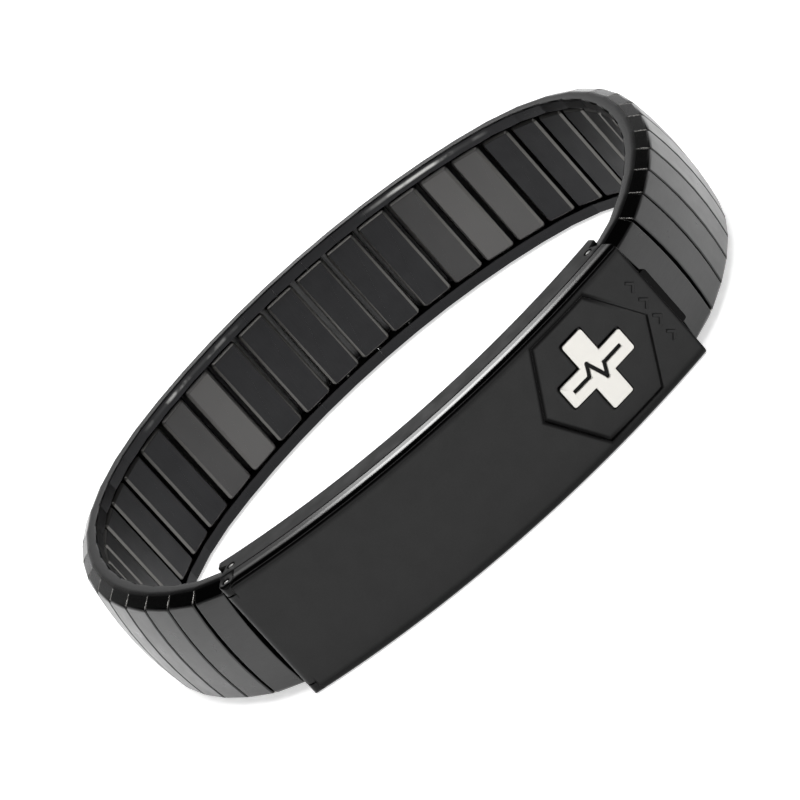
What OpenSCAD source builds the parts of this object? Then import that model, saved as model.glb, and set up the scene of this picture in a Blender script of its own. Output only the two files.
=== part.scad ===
// Expansion band bracelet with a lidded plate, lying on its side.
// +X runs along the plate, the plate faces -Y and +Z is up, across the width of the band.
// The origin is at the middle of the loop, on the surface that the bracelet lies on.
// Offsets are measured inward from the outer line, which the crowns of the outer links touch.

/* [Loop] */
// Radius of the outer line along the plate
plate_radius = 64.8; // [62:0.1:68]
// Turn of the outer line from the middle of the plate to the first bend
plate_turn = 22.4; // [22.2:0.1:23]

/* [Band] */
// Number of outer links round the loop
outer_count = 38; // [36:2:38]
// Width of the band
band_w = 13.8; // [13.4:0.1:14]
// Gap between two outer links where the band bends
link_gap = 0.16; // [0.14:0.01:0.2]
// Thickness of an outer link at its crown
web_t = 1.0; // [0.9:0.05:1.05]
// Thickness of the two flanges of an outer link
flange_t = 1.2; // [1:0.05:1.3]
// Rise of the crown across the width of an outer link
crown_rise = 0.55; // [0.3:0.05:0.6]

/* [Inner links] */
// Length of an inner link along the band
inner_len = 3.4; // [3:0.05:3.45]
// Clearance between an inner link and a flange
inner_play = 0.15; // [0.1:0.01:0.25]
// Bevel round the face of an inner link
inner_bevel = 0.18; // [0.1:0.02:0.25]
// Radius of the corners of an inner link
inner_corner = 0.4; // [0.2:0.05:0.6]

/* [Plate] */
// Width of the plate across the band
plate_w = 14.4; // [14.2:0.1:14.8]
// Half of the length of the lid along its face
lid_half = 25.1; // [25:0.05:25.2]
// Height of the face of the lid over the outer line
lid_proud = 0.95; // [0.9:0.05:1]
// Thickness of the lid
lid_t = 1.35; // [1.3:0.05:1.4]
// Parting gap between the lid and the tray
parting = 0.1; // [0.1:0.01:0.15]
// Thickness of the whole plate
plate_t = 5.4; // [5.3:0.05:5.6]
// Depth of the side walls of the lid, from its face
side_d = 2.2; // [2.1:0.05:2.25]
// Width of the side walls of the lid
side_w = 1.2; // [1.1:0.05:1.2]
// Thickness of the tray's walls inside the side walls of the lid
wall_t = 0.8; // [0.7:0.05:0.9]
// Thickness of the floor of the tray
floor_t = 1.0; // [0.9:0.05:1.1]
// Half of the length of the compartment
pocket_half = 19.5; // [15:0.5:19.5]

/* [Lid details] */
// Width of the sloping rim of the lid, seen on its face
rim_w = 0.8; // [0.6:0.05:0.85]
// Depth of the sloping rim of the lid, seen from the side
rim_d = 0.65; // [0.5:0.05:0.8]
// Distance of the recess from the middle of the plate, along the face
recess_place = 15.9; // [14:0.1:16]
// Radius of the corners of the hexagonal recess
recess_r = 7.1; // [6:0.1:7.2]
// Depth of the hexagonal recess
recess_depth = 0.3; // [0.2:0.05:0.4]
// Length of an arm of the silver cross
arm_len = 4.1; // [3:0.1:4.2]
// Width of an arm of the silver cross
arm_w = 2.6; // [2:0.1:2.8]
// Thickness of the silver cross
cross_t = 0.5; // [0.4:0.05:0.5]
// Width of the thumb lip
lip_w = 6.6; // [5:0.1:7]
// Reach of the thumb lip past the end of the lid
lip_reach = 0.75; // [0.5:0.05:0.8]
// Number of raised arrow marks beside the thumb lip
mark_count = 4; // [2:1:4]

/* [Pins] */
// Radius of the hinge pin
hinge_pin_r = 0.35; // [0.3:0.01:0.38]
// Radius of the barrel round the hinge pin
barrel_r = 0.85; // [0.8:0.01:0.9]
// Radius of the pins that hold the band
link_pin_r = 0.4; // [0.35:0.01:0.45]
// Running clearance of every pin in its bores
pin_play = 0.03; // [0.02:0.01:0.05]

/* [Hidden] */
$fn = 96;
DEG = 180/PI;
CLEAR = 0.1;
FAR = 20;

// The outer line from the middle of the plate to the middle of the far side, as arcs that run into
// each other. A last arc, worked out below, closes the loop.
RADIUS = 0;
TURN = 1;
plan = [
    [plate_radius, plate_turn],
    [4.6, 27.6],
    [37.8, 52.6],
    [24.6, 48.4],
];

// Line along which the links are strung, and the offset of the faces of the inner links
string_offset = 1.6;
face_offset = 3.1;
flange_offset = 3.05;
inner_back = 1.35;

// Where the sloping shoulder of an outer link ends on its side face, and its height there
shoulder_offset = 1.95;
shoulder_drop = 1.2;
flange_room = 0.1;

band_z = (plate_w - band_w)/2;
mid_z = plate_w/2;
face_r = plate_radius + lid_proud;
lid_back_r = face_r - lid_t;
tray_top_r = lid_back_r - parting;
tray_back_r = face_r - plate_t;
lid_angle = lid_half/face_r*DEG;
ledge_r = face_r - side_d - parting;
step_z = side_w + parting;
tray_reach = 0.5;
tray_angle = lid_angle + tray_reach/tray_back_r*DEG;

// Point and heading after an arc of radius r that starts at [x, y] with heading h and turns by a
function after_arc(p, r, a) = [
    p.x + r*(sin(p.z + a) - sin(p.z)),
    p.y - r*(cos(p.z + a) - cos(p.z)),
    p.z + a,
];
function plan_end(off, i) = i < 0
    ? [0, off, 0]
    : after_arc(plan_end(off, i - 1), plan[i][RADIUS] - off, plan[i][TURN]);
last = len(plan) - 1;
closing = plan_end(0, last);
closing_radius = closing.x/sin(closing.z);
arcs = concat(plan, [[closing_radius, 180 - closing.z]]);

// Point and heading at the length s along the line at the offset off, up to the far side
function walk(s, off, p, i) =
    let (r = arcs[i][RADIUS] - off, arc = r*arcs[i][TURN]/DEG)
    (s <= arc || i == len(arcs) - 1)
        ? after_arc(p, r, s/r*DEG)
        : walk(s - arc, off, after_arc(p, r, arcs[i][TURN]), i + 1);
function half_line(off, i = 0) = i == len(arcs)
    ? 0
    : (arcs[i][RADIUS] - off)*arcs[i][TURN]/DEG + half_line(off, i + 1);

// Joints of the outer links, counted from the right end of the plate round to its left end
joint_start = (plate_radius - string_offset)*lid_angle/DEG + CLEAR;
string_half = half_line(string_offset);
pitch = 2*(string_half - joint_start)/outer_count;
function right_joint(j) = walk(joint_start + j*pitch, string_offset, [0, string_offset, 0], 0);
function joint(j) = j <= outer_count/2
    ? [right_joint(j).x, right_joint(j).y]
    : [-right_joint(outer_count - j).x, right_joint(outer_count - j).y];
function heading(j) =
    let (d = joint(j + 1) - joint(j))
    atan2(d.y, d.x);
// Heading that grows all the way round: the left side mirrors the right one
function turned(j) = j < outer_count/2 ? heading(j) : 360 - heading(outer_count - 1 - j);

// The far side of the outer line and the face of the lid stand equally far from the origin
far_y = after_arc(plan_end(0, last), closing_radius, 180 - closing.z).y;
centre_y = (far_y - lid_proud)/2;

// Hinge axis, a barrel's radius in from the left end of the lid and just over that from its face
barrel_sink = 0.03;
hinge_r = face_r - barrel_r - barrel_sink;
hinge_angle = -(lid_angle - barrel_r/hinge_r*DEG);
barrel_end = 1.3;
lid_corner = 0.45;
ear_inset = 0.05;
ear_foot = side_d - barrel_r + 2*parting;

// Pins of the band, in from the ends of the lid
link_pin_place = 1.2;
link_pin_offset = 2.5;
link_pin_angle = lid_angle - link_pin_place/plate_radius*DEG;
link_eye_r = 0.9;
pin_inset = 0.02;

// The hinge pin ends just under the sloping rims
rim_over_pin = rim_w*max(0, 1 - (barrel_r + barrel_sink - hinge_pin_r)/rim_d);
hinge_pin_inset = ear_inset + pin_inset + rim_over_pin;

mark_place = lid_half - 1.2;
mark_step = 2.1;
mark_size = 0.85;
mark_line = 0.3;
mark_rise = 0.12;
pocket_clear = 0.12;
cross_sink = 0.25;
cross_seat = 0.03;

function link_name(k) = str("outer_link_", k < 10 ? "0" : "", k);

// Moves the plan so that the origin is at the middle of the loop
module on_plan() {
    translate([0, -centre_y, 0])
        children();
}

// Frame on the string line: X along the band, Y inward, Z up
module on_string(place, angle) {
    on_plan()
        translate([place.x, place.y, 0])
            rotate([0, 0, angle])
                children();
}

// Frame of the plate: the axis of its curve at the origin, its middle towards -Y
module on_plate() {
    on_plan()
        translate([0, plate_radius, 0])
            children();
}

// Frame at an angle along the plate, at a radius: X along the face, Y inward, Z up
module at_plate_angle(angle, r) {
    on_plate()
        rotate([0, 0, angle])
            translate([0, -r, 0])
                children();
}

// A sector of the plate from one angle to another, with the section given as radius and height
module plate_sector(from, to) {
    on_plate()
        rotate([0, 0, -90 + from])
            rotate_extrude(angle = to - from, $fn = 360)
                children();
}

module rounded_rectangle(w, h, r) {
    square([w - 2*r, h], center = true);
    square([w, h - 2*r], center = true);
    for (x = [-1, 1], y = [-1, 1])
        translate([x*(w/2 - r), y*(h/2 - r)])
            circle(r = r, $fn = 32);
}

// Section of an outer link: offset inward from the string line, and height
module outer_section() {
    half_chord = band_w/2 - shoulder_drop*0.7;
    crown_r = (half_chord*half_chord + crown_rise*crown_rise)/(2*crown_rise);
    difference() {
        intersection() {
            translate([-string_offset, 0])
                polygon([
                    [0, shoulder_drop],
                    [shoulder_offset, 0],
                    [flange_offset, 0],
                    [flange_offset, band_w],
                    [shoulder_offset, band_w],
                    [0, band_w - shoulder_drop],
                ]);
            translate([crown_r - string_offset, band_w/2])
                circle(r = crown_r, $fn = 360);
        }
        translate([web_t - string_offset, flange_t])
            square([FAR, band_w - 2*flange_t]);
    }
}

// Taper that the flange of an outer link needs at the joint j, to keep its room there as the band bends
function taper(j) = j == 0 || j == outer_count
    ? 0
    : let (closes = 2*(flange_offset - string_offset)*tan((turned(j) - turned(j - 1))/2))
      max(0, flange_room + closes - link_gap)/2;

// Plan of an outer link: its flanges taper towards their inner edge, each end by its own amount
module outer_plan(length, start_taper, end_taper) {
    back = -string_offset - CLEAR;
    edge = flange_offset - string_offset;
    polygon([
        [-length/2, back],
        [length/2, back],
        [length/2, 0],
        [length/2 - end_taper, edge],
        [length/2 - end_taper, edge + CLEAR],
        [-length/2 + start_taper, edge + CLEAR],
        [-length/2 + start_taper, edge],
        [-length/2, 0],
    ]);
}

module outer_link(k) {
    ends = [joint(k - 1), joint(k)];
    length = norm(ends[1] - ends[0]) - link_gap;
    color("#4a4a4b")
        on_string((ends[0] + ends[1])/2, heading(k - 1))
            translate([0, 0, band_z])
                intersection() {
                    rotate([90, 0, 90])
                        linear_extrude(height = length, center = true)
                            outer_section();
                    linear_extrude(height = band_w)
                        outer_plan(length, taper(k - 1), taper(k));
                }
}

// Inner link with a bevel round the face that shows inside the loop
module inner_bar() {
    height = band_w - 2*(flange_t + inner_play);
    depth = face_offset - inner_back;
    intersection() {
        rotate([-90, 0, 0])
            linear_extrude(height = depth)
                rounded_rectangle(inner_len, height, inner_corner);
        linear_extrude(height = height, center = true)
            bar_outline(inner_len, depth);
        rotate([90, 0, 90])
            linear_extrude(height = inner_len, center = true)
                bar_outline_across(height, depth);
    }
}

module bar_outline(w, depth) {
    polygon([
        [-w/2, 0],
        [w/2, 0],
        [w/2, depth - inner_bevel],
        [w/2 - inner_bevel, depth],
        [-w/2 + inner_bevel, depth],
        [-w/2, depth - inner_bevel],
    ]);
}

module bar_outline_across(w, depth) {
    rotate([0, 0, -90])
        mirror([1, 0])
            bar_outline(w, depth);
}

module inner_links() {
    color("#2b2b2c")
        for (j = [1:outer_count - 1])
            on_string(joint(j), (turned(j - 1) + turned(j))/2)
                translate([0, inner_back - string_offset, mid_z])
                    inner_bar();
}

// Bar that runs from under the first outer link into the end of the tray, round the pin
module end_link_right() {
    height = band_w - 2*(flange_t + inner_play);
    eye_r = plate_radius - link_pin_offset;
    eye = [eye_r*sin(link_pin_angle), plate_radius - eye_r*cos(link_pin_angle)];
    radial = [sin(link_pin_angle), -cos(link_pin_angle)];
    end = eye - link_eye_r*[cos(link_pin_angle), sin(link_pin_angle)];
    along = [cos(heading(0)), sin(heading(0))];
    inward = [-along.y, along.x];
    reach = joint(0) + inner_len/2*along;
    back = (inner_back - string_offset)*inward;
    face = (face_offset - string_offset)*inward;
    color("#2b2b2c")
        on_plan()
            translate([0, 0, mid_z])
                difference() {
                    linear_extrude(height = height, center = true)
                        polygon([
                            reach + back,
                            joint(0) + back,
                            end + link_eye_r*radial,
                            end - link_eye_r*radial,
                            joint(0) + face,
                            reach + face,
                        ]);
                    translate([eye.x, eye.y, -height/2 - 1])
                        cylinder(r = link_pin_r + pin_play, h = height + 2);
                }
}

module end_link_left() {
    mirror([1, 0, 0])
        end_link_right();
}

module link_pin(side) {
    color("#8c8c8c")
        at_plate_angle(side*link_pin_angle, plate_radius - link_pin_offset)
            translate([0, 0, pin_inset])
                cylinder(r = link_pin_r, h = plate_w - 2*pin_inset);
}

module link_pin_right() {
    link_pin(1);
}

module link_pin_left() {
    link_pin(-1);
}

// Section of the lid: sloping rims over two side walls that reach down past the walls of the tray
module lid_section() {
    side_r = face_r - side_d;
    polygon([
        [side_r, 0],
        [face_r - rim_d, 0],
        [face_r, rim_w],
        [face_r, plate_w - rim_w],
        [face_r - rim_d, plate_w],
        [side_r, plate_w],
        [side_r, plate_w - side_w],
        [lid_back_r, plate_w - side_w],
        [lid_back_r, side_w],
        [side_r, side_w],
    ]);
}

// Block of the two ears at the left end, cut to the same sloping rims
module ears() {
    intersection() {
        plate_sector(-lid_angle - 1, hinge_angle + 2)
            polygon([
                [tray_back_r, 0],
                [face_r - rim_d, 0],
                [face_r, rim_w],
                [face_r, plate_w - rim_w],
                [face_r - rim_d, plate_w],
                [tray_back_r, plate_w],
            ]);
        at_plate_angle(hinge_angle, hinge_r)
            union() {
                translate([0, 0, ear_inset])
                    cylinder(r = barrel_r, h = plate_w - 2*ear_inset);
                translate([-barrel_r + ear_inset, 0, ear_inset])
                    cube([2*barrel_r - ear_inset - CLEAR, ear_foot, plate_w - 2*ear_inset]);
            }
    }
}

// Section of the tray: a ledge under each side wall of the lid, and a step up to the walls between them
module tray_section() {
    polygon([
        [tray_back_r, 0],
        [ledge_r, 0],
        [ledge_r, step_z],
        [tray_top_r, step_z],
        [tray_top_r, plate_w - step_z],
        [ledge_r, plate_w - step_z],
        [ledge_r, plate_w],
        [tray_back_r, plate_w],
    ]);
}

// Room that the tray leaves for the first outer link, on the right side
module first_link_room() {
    on_string(joint(0), heading(0))
        translate([link_gap/2 - CLEAR, -FAR, -1])
            cube([FAR, FAR + flange_offset - string_offset + CLEAR, plate_w + 2]);
}

module plate_base() {
    pocket_angle = pocket_half/plate_radius*DEG;
    slot_h = band_w - 2*flange_t;
    slot_from = lid_angle - (link_pin_place + link_eye_r + CLEAR)/tray_back_r*DEG;
    slot_outer_r = plate_radius - inner_back + CLEAR;
    slot_inner_r = plate_radius - link_pin_offset - link_eye_r - CLEAR;
    room_r = barrel_r + CLEAR;
    color("#3a3a3b")
        difference() {
            union() {
                plate_sector(-tray_angle, tray_angle)
                    tray_section();
                ears();
            }
            first_link_room();
            mirror([1, 0, 0])
                first_link_room();
            // Compartment under the lid
            plate_sector(-pocket_angle, pocket_angle)
                translate([tray_back_r + floor_t, step_z + wall_t])
                    square([FAR, plate_w - 2*(step_z + wall_t)]);
            // Slots for the end links
            for (side = [-1, 1])
                plate_sector(side > 0 ? slot_from : -lid_angle - 2, side > 0 ? lid_angle + 2 : -slot_from)
                    translate([slot_inner_r, mid_z - slot_h/2])
                        square([slot_outer_r - slot_inner_r, slot_h]);
            // Room for the barrel and the back of the lid between the ears
            at_plate_angle(hinge_angle, hinge_r)
                translate([0, 0, barrel_end - CLEAR]) {
                    cylinder(r = room_r, h = plate_w - 2*(barrel_end - CLEAR));
                    translate([-barrel_r, -room_r - CLEAR, 0])
                        cube([2*barrel_r, room_r + lid_t - barrel_r + 2*parting, plate_w - 2*(barrel_end - CLEAR)]);
                }
            // Bores of the hinge pin and of the pins of the band
            at_plate_angle(hinge_angle, hinge_r)
                translate([0, 0, -1])
                    cylinder(r = hinge_pin_r + pin_play, h = plate_w + 2);
            for (side = [-1, 1])
                at_plate_angle(side*link_pin_angle, plate_radius - link_pin_offset)
                    translate([0, 0, -1])
                        cylinder(r = link_pin_r + pin_play, h = plate_w + 2);
        }
}

// Frame on the face of the lid: X along the plate, Y up and Z out of the face, at a length along it
module on_face(place) {
    at_plate_angle(place/face_r*DEG, face_r)
        translate([0, 0, mid_z])
            rotate([90, 0, 0])
                children();
}

module recess_outline() {
    circle(r = recess_r, $fn = 6);
}

module cross_outline(grow) {
    rounded_rectangle(2*(arm_len + grow), arm_w + 2*grow, 0.3);
    rounded_rectangle(arm_w + 2*grow, 2*(arm_len + grow), 0.3);
}

// Shell between two radii round the axis of the plate
module face_shell(inner_r, outer_r) {
    plate_sector(-lid_angle - 1, lid_angle + 3)
        translate([inner_r, -1])
            square([outer_r - inner_r, plate_w + 2]);
}

// Flat zigzag of a pulse, cut into the silver cross
module pulse_line(w) {
    beat = [[-3, 0], [-1.1, 0], [-0.5, 1.1], [0.3, -1.2], [0.9, 0], [3, 0]];
    for (i = [0:len(beat) - 2])
        let (d = beat[i + 1] - beat[i])
            translate(beat[i])
                rotate(atan2(d.y, d.x))
                    translate([-w/2, -w/2])
                        square([norm(d) + w, w]);
}

// Raised arrow that points to the thumb lip
module arrow_mark() {
    for (side = [-1, 1])
        rotate(side*135)
            translate([-mark_line/2, -mark_line/2])
                square([mark_size + mark_line/2, mark_line]);
}

module lid_body() {
    // The lid stops short of the ears, hollowed to turn round them, and reaches round the pin between them
    difference() {
        plate_sector(hinge_angle, lid_angle)
            lid_section();
        for (z = [-FAR, plate_w - barrel_end])
            at_plate_angle(hinge_angle, hinge_r)
                translate([0, 0, z]) {
                    translate([-FAR, -FAR, 0])
                        cube([FAR + lid_corner, 2*FAR, FAR + barrel_end]);
                    cylinder(r = barrel_r + CLEAR, h = FAR + barrel_end);
                    translate([-FAR, 0, 0])
                        cube([FAR + barrel_r + CLEAR - ear_inset, FAR, FAR + barrel_end]);
                }
    }
    at_plate_angle(hinge_angle, hinge_r)
        translate([0, 0, barrel_end])
            cylinder(r = barrel_r, h = plate_w - 2*barrel_end);
    // Thumb lip
    intersection() {
        on_face(lid_half)
            translate([0, 0, -0.9])
                linear_extrude(height = 1)
                    rounded_rectangle(2*lip_reach, lip_w, 0.35);
        face_shell(lid_back_r, face_r - 0.1);
    }
}

module plate_lid() {
    color("#363637")
        difference() {
            union() {
                lid_body();
                intersection() {
                    face_shell(face_r - 0.3, face_r + mark_rise);
                    for (i = [0:mark_count - 1])
                        on_face(mark_place)
                            translate([0, (i - (mark_count - 1)/2)*mark_step, -1])
                                linear_extrude(height = 2)
                                    arrow_mark();
                }
            }
            intersection() {
                face_shell(face_r - recess_depth, face_r + 1);
                on_face(recess_place)
                    translate([0, 0, -2])
                        linear_extrude(height = 4)
                            recess_outline();
            }
            intersection() {
                face_shell(face_r - recess_depth - cross_sink, face_r + 1);
                on_face(recess_place)
                    translate([0, 0, -2])
                        linear_extrude(height = 4)
                            cross_outline(pocket_clear);
            }
            at_plate_angle(hinge_angle, hinge_r)
                translate([0, 0, -1])
                    cylinder(r = hinge_pin_r + pin_play, h = plate_w + 2);
        }
}

module hinge_pin() {
    color("#8c8c8c")
        at_plate_angle(hinge_angle, hinge_r)
            translate([0, 0, hinge_pin_inset])
                cylinder(r = hinge_pin_r, h = plate_w - 2*hinge_pin_inset);
}

module emblem() {
    seat_r = face_r - recess_depth - cross_sink + cross_seat;
    color("#d8d6d1")
        difference() {
            intersection() {
                face_shell(seat_r, seat_r + cross_t);
                on_face(recess_place)
                    translate([0, 0, -2])
                        linear_extrude(height = 4)
                            cross_outline(0);
            }
            intersection() {
                face_shell(seat_r + cross_t*0.6, face_r + 1);
                on_face(recess_place)
                    translate([0, 0, -2])
                        linear_extrude(height = 4)
                            pulse_line(0.35);
            }
        }
}

for (k = [1:outer_count])
    outer_link(k);
inner_links();
end_link_right();
end_link_left();
link_pin_right();
link_pin_left();
plate_base();
plate_lid();
hinge_pin();
emblem();
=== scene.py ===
import math

import bmesh
import bpy
import numpy as np
from mathutils import Matrix, Vector


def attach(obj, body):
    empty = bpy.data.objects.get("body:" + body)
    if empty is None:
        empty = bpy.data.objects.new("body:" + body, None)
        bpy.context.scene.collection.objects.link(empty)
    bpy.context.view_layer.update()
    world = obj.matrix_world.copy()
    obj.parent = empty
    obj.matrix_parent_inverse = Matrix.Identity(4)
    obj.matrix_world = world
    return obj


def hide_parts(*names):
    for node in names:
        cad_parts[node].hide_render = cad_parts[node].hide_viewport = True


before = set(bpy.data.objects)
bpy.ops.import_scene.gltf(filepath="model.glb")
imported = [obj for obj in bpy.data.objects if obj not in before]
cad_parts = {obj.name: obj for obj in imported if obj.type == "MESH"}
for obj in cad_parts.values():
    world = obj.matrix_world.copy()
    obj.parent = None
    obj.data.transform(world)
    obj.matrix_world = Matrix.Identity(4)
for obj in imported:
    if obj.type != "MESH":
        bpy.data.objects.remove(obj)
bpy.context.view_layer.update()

# Line of joints. The band is strung on short joints between neighbouring links. Their line runs
# 1.6 mm inside the outer face, from the right end of the plate round the wrist to its left end.
MM = 0.001
OUTER_LINE = ((64.8, 22.4), (4.6, 27.6), (37.8, 52.6), (24.6, 48.4))
LINK_COUNT = 38
STRING_OFFSET, FIRST_GAP = 1.6, 0.1
LID_HALF, LID_PROUD = 25.1, 0.95


def after_arc(start, radius, turn):
    x, y, heading = start
    return (
        x + radius * (math.sin(heading + turn) - math.sin(heading)),
        y - radius * (math.cos(heading + turn) - math.cos(heading)),
        heading + turn,
    )


def half_loop(offset):
    """Arcs as (start, radius, turn) from the middle of the plate to the middle of the far side."""
    arcs, at, shut = [], (0.0, offset, 0.0), (0.0, 0.0, 0.0)
    for radius, degrees in OUTER_LINE:
        turn = math.radians(degrees)
        arcs.append((at, radius - offset, turn))
        at, shut = after_arc(at, radius - offset, turn), after_arc(shut, radius, turn)
    closing = shut[0] / math.sin(shut[2])
    arcs.append((at, closing - offset, math.pi - shut[2]))
    return arcs


def point_at(arcs, length):
    for start, radius, turn in arcs[:-1]:
        if length <= radius * turn:
            return after_arc(start, radius, length / radius)[:2]
        length -= radius * turn
    start, radius, turn = arcs[-1]
    return after_arc(start, radius, length / radius)[:2]


far_start, far_radius, far_turn = half_loop(0.0)[-1]
centre_y = (after_arc(far_start, far_radius, far_turn)[1] - LID_PROUD) / 2
string_arcs = half_loop(STRING_OFFSET)
face_radius = OUTER_LINE[0][0] + LID_PROUD
first_joint = (OUTER_LINE[0][0] - STRING_OFFSET) * LID_HALF / face_radius + FIRST_GAP
string_half = sum(radius * turn for _, radius, turn in string_arcs)
pitch = 2 * (string_half - first_joint) / LINK_COUNT
right_half = [point_at(string_arcs, first_joint + j * pitch) for j in range(LINK_COUNT // 2 + 1)]
left_half = [(-x, y) for x, y in reversed(right_half[:-1])]
joints = [(x * MM, (y - centre_y) * MM, 0.0) for x, y in right_half + left_half]

joint_line = bpy.data.meshes.new("joint_line")
joint_line.from_pydata(joints, [(j, j + 1) for j in range(LINK_COUNT)], [])

# Outer links. Each is a stamped steel cap with a crowned face, sloping shoulders and two flanges
# that hook round the inner links. They are black coated over a satin brushed surface.
CAP_WIDTH, CAP_GAP, MITRE_GAP = 13.8, 0.012, 0.008
CAP_LOW = 0.3
CAP_WEB, CAP_FLANGE = 1.0, 1.2
CAP_SHOULDER = (0.57, 0.85)
CAP_SIDE, CAP_DEPTH = 1.95, 3.05
CAP_LENGTH = 3.9
# Rounding of the ends and how far they stand back, down to the first depth and from the second one on
END_ROUND, END_BACK, CROWN_DEPTH = (0.14, 0.04), (0.08, 0.0), (0.7, 1.5)
# The mitre reaches this far along the band from a joint, and this far round it in all
MITRE_REACH, MITRE_ROUND = 1.5, 3.0


def linear(colour):
    """Linear RGBA of an sRGB colour such as '#808080'."""
    channels = [int(colour[i:i + 2], 16) / 255 for i in (1, 3, 5)]
    return [c / 12.92 if c <= 0.04045 else ((c + 0.055) / 1.055) ** 2.4 for c in channels] + [1.0]


def rounded(corners, steps=4):
    """Closed outline through corners (u, v, cut): each is rounded from cut before it to cut after it."""
    points = []
    for i, (u, v, cut) in enumerate(corners):
        corner = np.array((u, v))
        if cut == 0:
            points.append(corner)
            continue
        before = np.array(corners[i - 1][:2]) - corner
        after = np.array(corners[(i + 1) % len(corners)][:2]) - corner
        a = corner + before / np.linalg.norm(before) * cut
        b = corner + after / np.linalg.norm(after) * cut
        for k in range(steps + 1):
            t = k / steps
            points.append((1 - t) ** 2 * a + 2 * t * (1 - t) * corner + t * t * b)
    return np.array(points)


def outline_normals(points):
    """Outward normals of an outline that turns anticlockwise."""
    along = np.roll(points, -1, axis=0) - np.roll(points, 1, axis=0)
    normals = np.stack([along[:, 1], -along[:, 0]], axis=1)
    return normals / np.linalg.norm(normals, axis=1)[:, None]


def skin(name, rings):
    """Closed mesh through rings of points in millimetres, with a face over each end."""
    made = bmesh.new()
    loops = [[made.verts.new(Vector(p) * MM) for p in ring] for ring in rings]
    for low, high in zip(loops, loops[1:]):
        for i in range(len(low)):
            j = (i + 1) % len(low)
            made.faces.new((low[i], low[j], high[j], high[i]))
    made.faces.new(loops[0])
    made.faces.new(loops[-1])
    bmesh.ops.recalc_face_normals(made, faces=made.faces)
    mesh = bpy.data.meshes.new(name)
    made.to_mesh(mesh)
    made.free()
    own = mesh.attributes.new("own_place", "FLOAT_VECTOR", "POINT")
    own.data.foreach_set("vector", [c for v in mesh.vertices for c in v.co])
    mesh.shade_smooth()
    mesh.set_sharp_from_angle(angle=math.radians(35))
    return mesh


def cap_outline():
    shoulder_u, shoulder_v = CAP_SHOULDER
    half = CAP_WIDTH / 2
    lower = [
        (shoulder_u, shoulder_v, 0.28),
        (CAP_SIDE, 0.0, 0.32),
        (CAP_DEPTH, 0.0, 0.16),
        (CAP_DEPTH, CAP_FLANGE, 0.1),
        (CAP_WEB, CAP_FLANGE, 0.12),
    ]
    upper = [(u, CAP_WIDTH - v, cut) for u, v, cut in reversed(lower)]
    reach = half - shoulder_v
    crown = [
        (shoulder_u * (1 - math.cos(math.radians(a)) ** 2), half + reach * math.sin(math.radians(a)), 0)
        for a in (60, 40, 20, 0, -20, -40, -60)
    ]
    return rounded(lower + upper + crown)


def cap_mesh():
    outline = cap_outline()
    normals = outline_normals(outline)
    rings = []
    for side in (-1, 1):
        for angle in (0, 30, 60, 90) if side < 0 else (90, 60, 30, 0):
            ring = []
            for (u, v), (nu, nv) in zip(outline, normals):
                curl = np.interp(u, CROWN_DEPTH, END_ROUND)
                back = curl * (1 - math.cos(math.radians(angle))) + np.interp(u, CROWN_DEPTH, END_BACK)
                inset = curl * (1 - math.sin(math.radians(angle)))
                along = side * (CAP_LENGTH / 2 - back)
                ring.append((along, u - inset * nu - STRING_OFFSET, v - inset * nv + CAP_LOW))
            rings.append(ring)
    return skin("cap", rings)


def carried_along(name, mesh, line, tree, material, **sizes):
    """Runs a node tree that carries a mesh along a line, and gives the plain mesh that it makes."""
    pattern = bpy.data.objects.new(name + "_pattern", mesh)
    holder = bpy.data.objects.new(name, line.copy())
    bpy.context.scene.collection.objects.link(holder)
    follow = holder.modifiers.new("follow", "NODES")
    follow.node_group = tree
    given = dict(sizes, Link=pattern, Finish=material)
    for item in tree.interface.items_tree:
        if item.in_out == "INPUT" and item.name in given:
            follow[item.identifier] = given[item.name]
    bpy.context.view_layer.update()
    graph = bpy.context.evaluated_depsgraph_get()
    made = bpy.data.meshes.new_from_object(holder.evaluated_get(graph))
    made.name = name
    holder.modifiers.remove(follow)
    holder.data = made
    bpy.data.objects.remove(pattern)
    return holder


def evened(piece):
    """Keeps the shading of flat faces flat beside their rounded edges."""
    even = piece.modifiers.new("even", "WEIGHTED_NORMAL")
    even.keep_sharp = True
    made = bpy.data.meshes.new_from_object(piece.evaluated_get(bpy.context.evaluated_depsgraph_get()))
    made.name = piece.name
    piece.modifiers.remove(even)
    piece.data = made


def node(tree, kind, inputs=None, **settings):
    """Adds a node, sets its fields, and sets or links its inputs."""
    made = tree.nodes.new(kind)
    for name, value in settings.items():
        setattr(made, name, value)
    for name, value in (inputs or {}).items():
        if isinstance(value, bpy.types.NodeSocket):
            tree.links.new(value, made.inputs[name])
        else:
            made.inputs[name].default_value = value
    return made


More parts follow.
